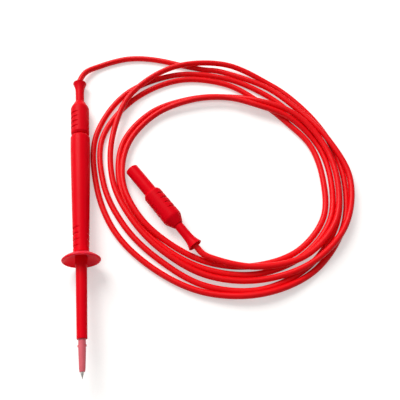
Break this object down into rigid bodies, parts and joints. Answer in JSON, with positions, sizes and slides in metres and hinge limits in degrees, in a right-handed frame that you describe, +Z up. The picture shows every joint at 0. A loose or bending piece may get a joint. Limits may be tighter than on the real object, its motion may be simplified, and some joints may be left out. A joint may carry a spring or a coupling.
{
  "type": "test probe",
  "caption": "Hand-held test probe with finger guard, sprung tip sleeve and needle, its coiled silicone lead and shrouded safety plugs.",
  "frame": {"origin": "on the table under the middle of the probe, measured without the lead and its plugs", "axes": "+Y along the probe from its needle towards its rear socket, +Z up, +X towards the coil of the lead"},
  "size_m": [0.1737, 0.2094, 0.0217],
  "materials": {
    "handle_shell": "satin moulded red",
    "finger_guard": "satin moulded red",
    "probe_barrel": "satin moulded red",
    "tip_sleeve": "slightly see-through pink",
    "sleeve_spring": "bright spring wire",
    "spring_washer": "bright",
    "probe_needle": "ground and polished",
    "contact_rod": "turned",
    "rod_guide": "plain insulator",
    "socket_contact": "turned",
    "socket_insulator": "plain insulator",
    "rear_plug_grip": "soft-touch moulded red",
    "rear_plug_boot": "flexible moulded red",
    "rear_plug_shroud": "hard moulded red",
    "rear_plug_pin": "plated",
    "rear_plug_pin_cap": "plated",
    "rear_plug_contact_cage": "plated spring strip",
    "rear_plug_conductor": "stranded copper",
    "rear_plug_cable_clamp": "plain ring",
    "free_plug_grip": "soft-touch moulded red",
    "free_plug_boot": "flexible moulded red",
    "free_plug_shroud": "hard moulded red",
    "free_plug_pin": "plated",
    "free_plug_pin_cap": "plated",
    "free_plug_contact_cage": "plated spring strip",
    "free_plug_conductor": "stranded copper",
    "free_plug_cable_clamp": "plain ring",
    "lead_cable": "smooth silicone jacket"
  },
  "bodies": {
    "lead": {"lead_cable": "lead_cable", "rear_plug_grip": "rear_plug_grip", "rear_plug_boot": "rear_plug_boot", "rear_plug_shroud": "rear_plug_shroud", "rear_plug_pin": "rear_plug_pin", "rear_plug_pin_cap": "rear_plug_pin_cap", "rear_plug_contact_cage": "rear_plug_contact_cage", "rear_plug_conductor": "rear_plug_conductor", "rear_plug_cable_clamp": "rear_plug_cable_clamp", "free_plug_grip": "free_plug_grip", "free_plug_boot": "free_plug_boot", "free_plug_shroud": "free_plug_shroud", "free_plug_pin": "free_plug_pin", "free_plug_pin_cap": "free_plug_pin_cap", "free_plug_contact_cage": "free_plug_contact_cage", "free_plug_conductor": "free_plug_conductor", "free_plug_cable_clamp": "free_plug_cable_clamp"},
    "probe": {"handle_shell": "handle_shell", "finger_guard": "finger_guard", "probe_barrel": "probe_barrel", "sleeve_spring": "sleeve_spring", "spring_washer": "spring_washer", "probe_needle": "probe_needle", "contact_rod": "contact_rod", "rod_guide": "rod_guide", "socket_contact": "socket_contact", "socket_insulator": "socket_insulator"},
    "sleeve": {"tip_sleeve": "tip_sleeve"}
  },
  "joints": [
    {"name": "plug_pull", "type": "slide", "parent": "lead", "child": "probe", "axis": [0, -0.9988, 0.0492], "range_m": [0, 0.024]},
    {"name": "sleeve_slide", "type": "slide", "parent": "probe", "child": "sleeve", "axis": [0, 0.9988, -0.0492], "range_m": [0, 0.013], "stiffness_N_per_m": 80, "springref_m": -0.008, "deforming": ["sleeve_spring"]}
  ]
}
